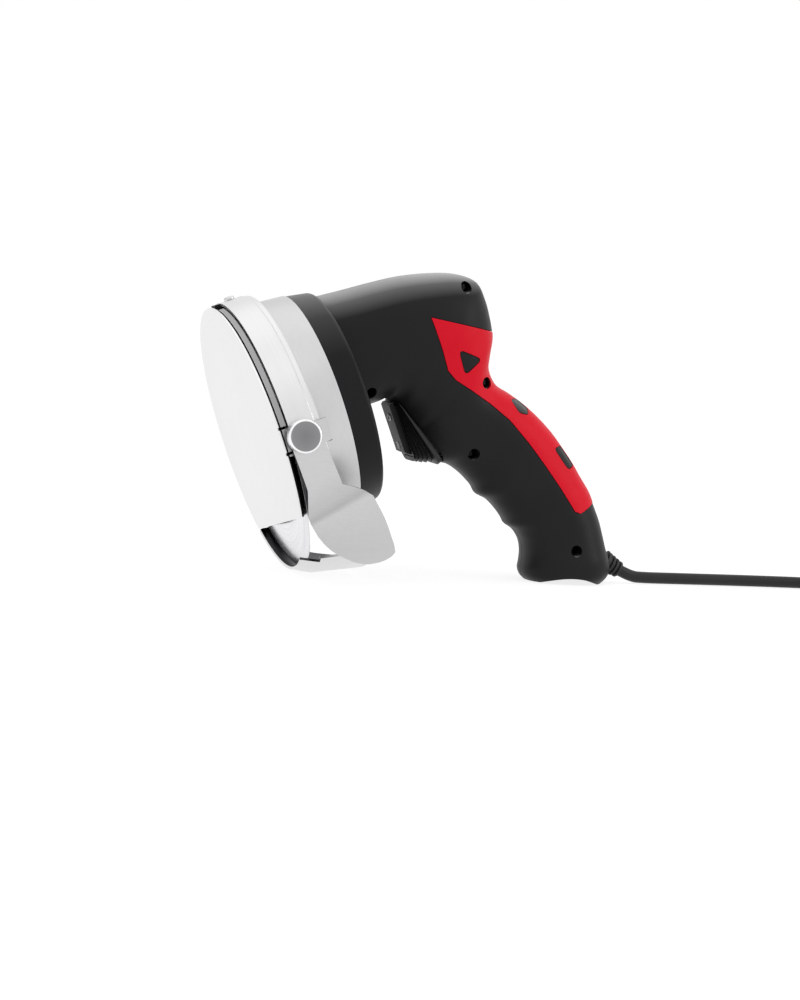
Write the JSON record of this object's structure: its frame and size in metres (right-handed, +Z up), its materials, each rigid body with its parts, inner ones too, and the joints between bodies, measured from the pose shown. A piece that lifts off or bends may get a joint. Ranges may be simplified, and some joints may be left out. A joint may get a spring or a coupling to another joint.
{
  "type": "electric kebab slicer",
  "caption": "Hand-held electric meat slicer: round blade in a tilted head, sheet guards, a sliding thickness guide with a clamp knob, angled grip with a rocker switch, cord and plug.",
  "frame": {"origin": "on the table, under the middle of the tool without its cord, in the plane it stands on", "axes": "+Z up, blade towards -X, cord towards +X, clamp knob on the -Y side"},
  "size_m": [0.4468, 0.1548, 0.1416],
  "materials": {
    "black_plastic": "satin",
    "black_rubber": "matt",
    "red_plastic": "satin",
    "brushed_steel": "brushed",
    "cast_alloy": "satin",
    "blade_steel": "ground",
    "copper": "plain",
    "magnet": "matt",
    "brass": "plain"
  },
  "bodies": {
    "tool": {"brush_1": "brass", "brush_2": "brass", "clamp_stud": "brushed_steel", "cord": "black_rubber", "cord_coil": "black_rubber", "cord_grip": "black_rubber", "cord_tail": "black_rubber", "cover_clip_1": "black_plastic", "cover_clip_2": "black_plastic", "cover_screw_1": "brushed_steel", "cover_screw_2": "brushed_steel", "drum": "cast_alloy", "end_bell": "black_plastic", "front_cover": "brushed_steel", "gear_case": "black_plastic", "guard_screw": "brushed_steel", "head_pan": "brushed_steel", "housing_screw_1": "brushed_steel", "housing_screw_2": "brushed_steel", "housing_screw_3": "brushed_steel", "housing_screw_4": "brushed_steel", "housing_screw_5": "brushed_steel", "left_housing": "black_plastic", "left_inlay": "red_plastic", "lower_guard": "brushed_steel", "magnet_1": "magnet", "magnet_2": "magnet", "motor_can": "brushed_steel", "motor_front_bearing": "brushed_steel", "motor_rear_bearing": "brushed_steel", "motor_screw_1": "brushed_steel", "motor_screw_2": "brushed_steel", "pan_screw_1": "brushed_steel", "pan_screw_2": "brushed_steel", "pan_screw_3": "brushed_steel", "plug_body": "black_plastic", "plug_pin_1": "brass", "plug_pin_2": "brass", "right_housing": "black_plastic", "right_inlay": "red_plastic", "spindle_front_bearing": "brushed_steel", "spindle_rear_bearing": "brushed_steel", "switch_body": "black_plastic", "switch_boot": "black_rubber"},
    "blade_set": {"spindle": "brushed_steel", "drive_gear": "brushed_steel", "blade_flange": "brushed_steel", "blade": "blade_steel", "blade_screw": "brushed_steel"},
    "rotor": {"rotor_shaft": "brushed_steel", "pinion": "brushed_steel", "armature_core": "brushed_steel", "armature_winding": "copper", "commutator": "copper", "cooling_fan": "black_plastic"},
    "guide": {"thickness_guide": "brushed_steel"},
    "knob": {"clamp_knob": "brushed_steel"},
    "rocker": {"rocker": "black_plastic"}
  },
  "joints": [
    {"name": "blade_spin", "type": "hinge", "parent": "tool", "child": "blade_set", "pos_m": [-0.03627, 0.0039, 0.07607], "axis": [-0.9336, 0, -0.3584], "continuous": true},
    {"name": "rotor_spin", "type": "hinge", "parent": "tool", "child": "rotor", "pos_m": [-0.04595, 0.0039, 0.10127], "axis": [-0.9336, 0, -0.3584], "continuous": true},
    {"name": "guide_slide", "type": "slide", "parent": "tool", "child": "guide", "axis": [-0.9336, 0, -0.3584], "range_m": [-0.0024, 0.0056]},
    {"name": "knob_turn", "type": "hinge", "parent": "tool", "child": "knob", "pos_m": [-0.07175, 0.0039, 0.06245], "axis": [-0.025, -0.9976, 0.0651], "continuous": true},
    {"name": "rocker_tilt", "type": "hinge", "parent": "tool", "child": "rocker", "pos_m": [-0.00788, 0.0039, 0.06897], "axis": [0, -1, 0], "range_deg": [0, 10]}
  ],
  "couplings": [
    {"joint": "rotor_spin", "follows": "blade_spin", "ratio": -3.5}
  ]
}
